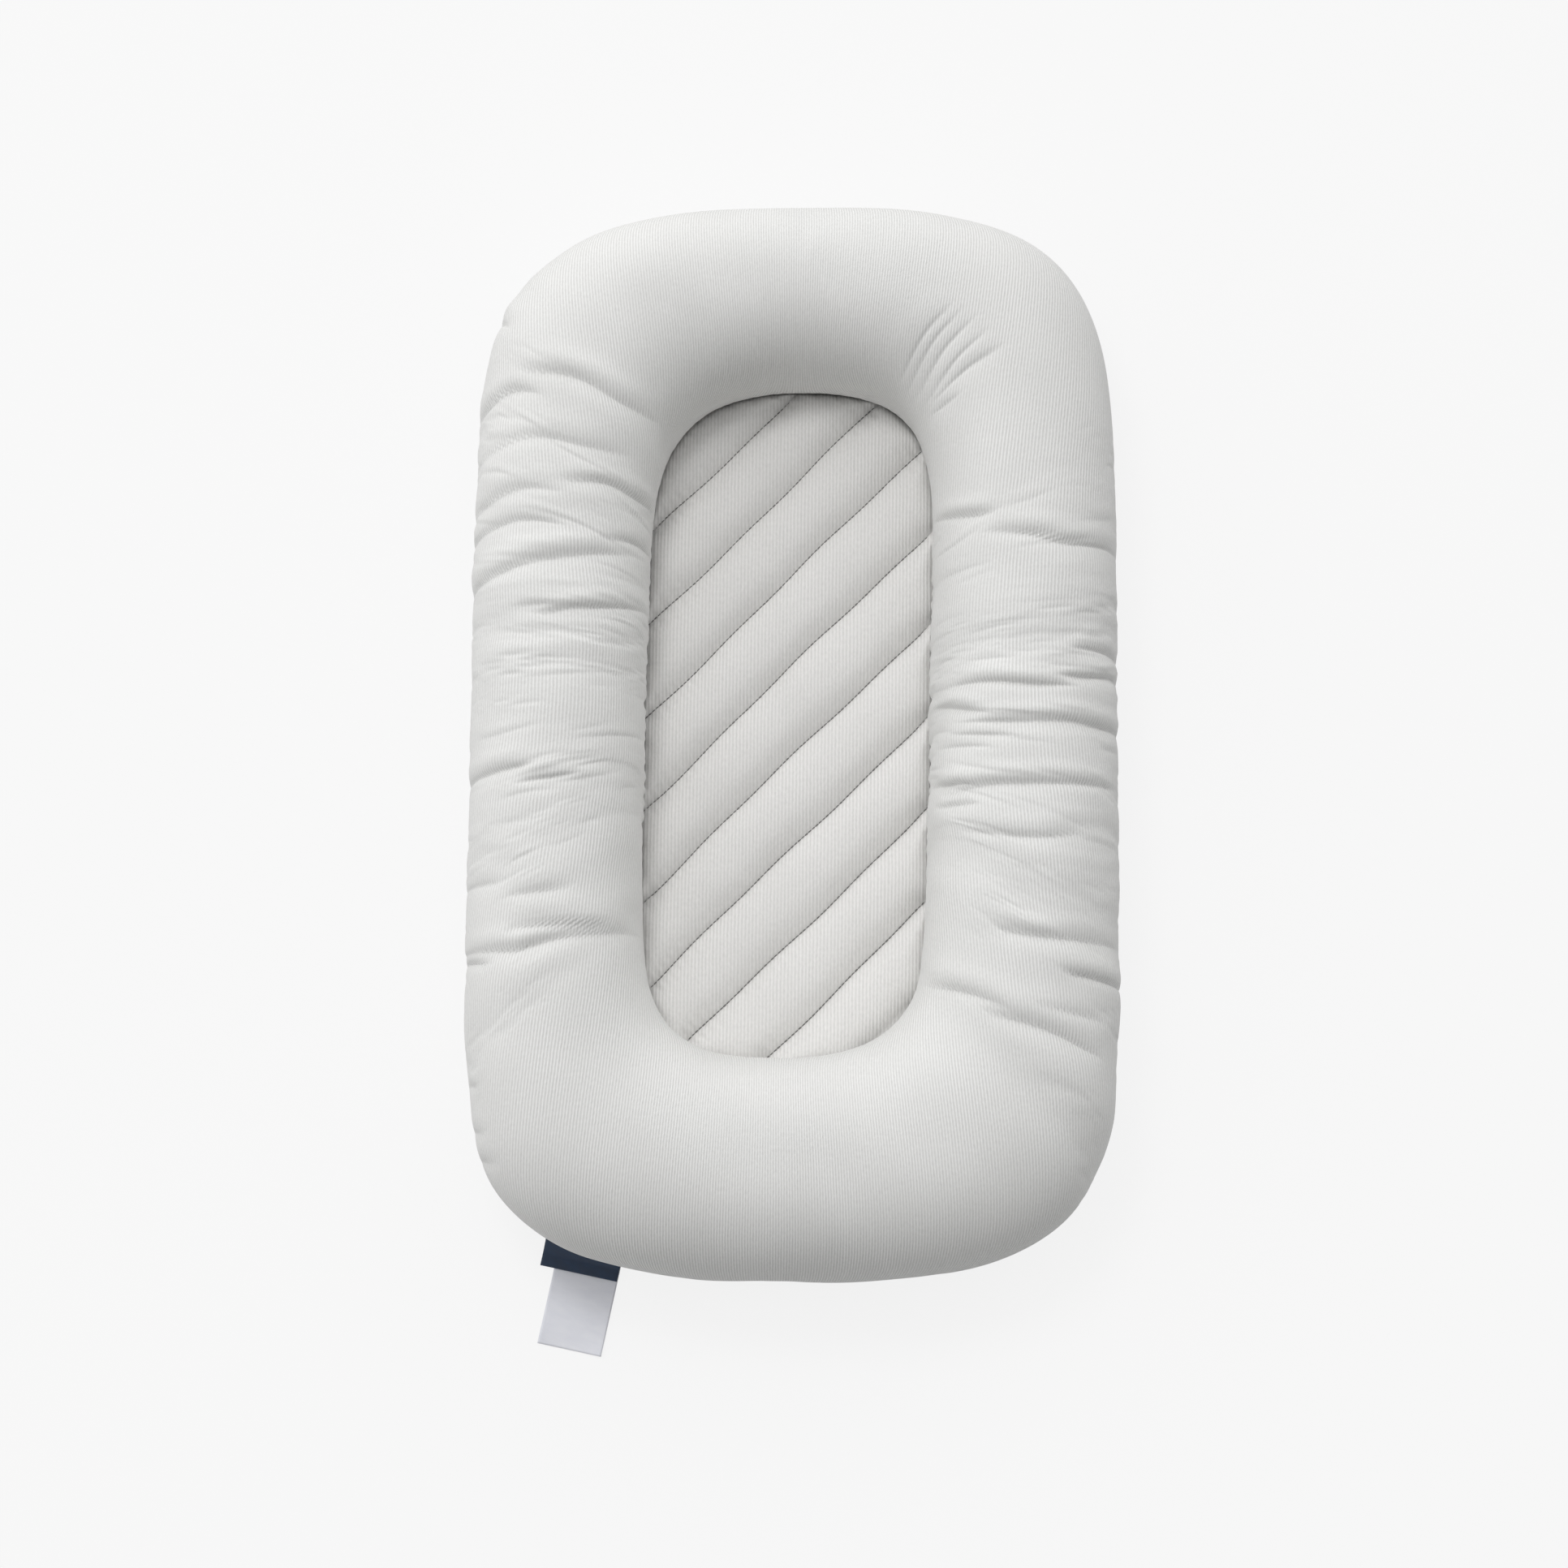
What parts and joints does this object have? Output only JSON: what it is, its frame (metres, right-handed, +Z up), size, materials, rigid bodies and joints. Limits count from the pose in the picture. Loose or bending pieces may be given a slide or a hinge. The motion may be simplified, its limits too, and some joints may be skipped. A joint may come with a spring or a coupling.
{
  "type": "infant lounger",
  "caption": "Oblong infant lounger: a plump ribbed ring bolster round a diagonally quilted pad, in a removable cover with a zip underneath and two seam labels.",
  "frame": {"origin": "on the floor, at the centre of the lounger's flat underside, labels not counted", "axes": "+X across the lounger, +Y towards the head end, +Z up"},
  "size_m": [0.478, 0.8532, 0.14],
  "materials": {
    "rib_cloth": "fine-ribbed cotton, pale warm grey-white",
    "quilt_cloth": "fine-ribbed cotton, pale grey",
    "lining_cloth": "plain woven white lining",
    "white_fibre": "loose white fibre",
    "seam_thread": "grey sewing thread and seam tape",
    "zip_tape": "woven zip tape",
    "zip_nylon": "nylon coil",
    "zip_metal": "plated zip metal",
    "navy_ribbon": "navy woven ribbon",
    "white_ribbon": "smooth white satin ribbon"
  },
  "bodies": {
    "cover_and_insert": {"cover_bolster": "rib_cloth", "inner_seam_binding": "seam_thread", "outer_seam_binding": "rib_cloth", "pad_face": "quilt_cloth", "pad_wadding": "white_fibre", "pad_backing": "lining_cloth", "quilt_stitch_1": "seam_thread", "quilt_stitch_2": "seam_thread", "quilt_stitch_3": "seam_thread", "quilt_stitch_4": "seam_thread", "quilt_stitch_5": "seam_thread", "quilt_stitch_6": "seam_thread", "quilt_stitch_7": "seam_thread", "quilt_stitch_8": "seam_thread", "insert_casing_top": "lining_cloth", "insert_casing_bottom": "lining_cloth", "fibre_filling": "white_fibre", "insert_base_pad": "white_fibre", "base_panel_head": "quilt_cloth", "base_panel_foot": "quilt_cloth", "zip_facing_head": "quilt_cloth", "zip_facing_foot": "quilt_cloth", "zip_end_tab_left": "quilt_cloth", "zip_end_tab_right": "quilt_cloth", "zip_tape_head": "zip_tape", "zip_tape_foot": "zip_tape", "zip_coil_head": "zip_nylon", "zip_coil_foot": "zip_nylon", "zip_top_stop": "zip_metal", "zip_bottom_stop": "zip_metal", "navy_label": "navy_ribbon", "care_label": "white_ribbon"},
    "zip_slider": {"zip_slider": "zip_metal"},
    "zip_pull": {"zip_pull": "zip_metal"}
  },
  "joints": [
    {"name": "zip_travel", "type": "slide", "parent": "cover_and_insert", "child": "zip_slider", "axis": [-1, 0, 0], "range_m": [0, 0.262]},
    {"name": "pull_swing", "type": "hinge", "parent": "zip_slider", "child": "zip_pull", "pos_m": [0.1399, -0.272, 0.0051], "axis": [0, -1, 0], "range_deg": [0, 150]}
  ]
}
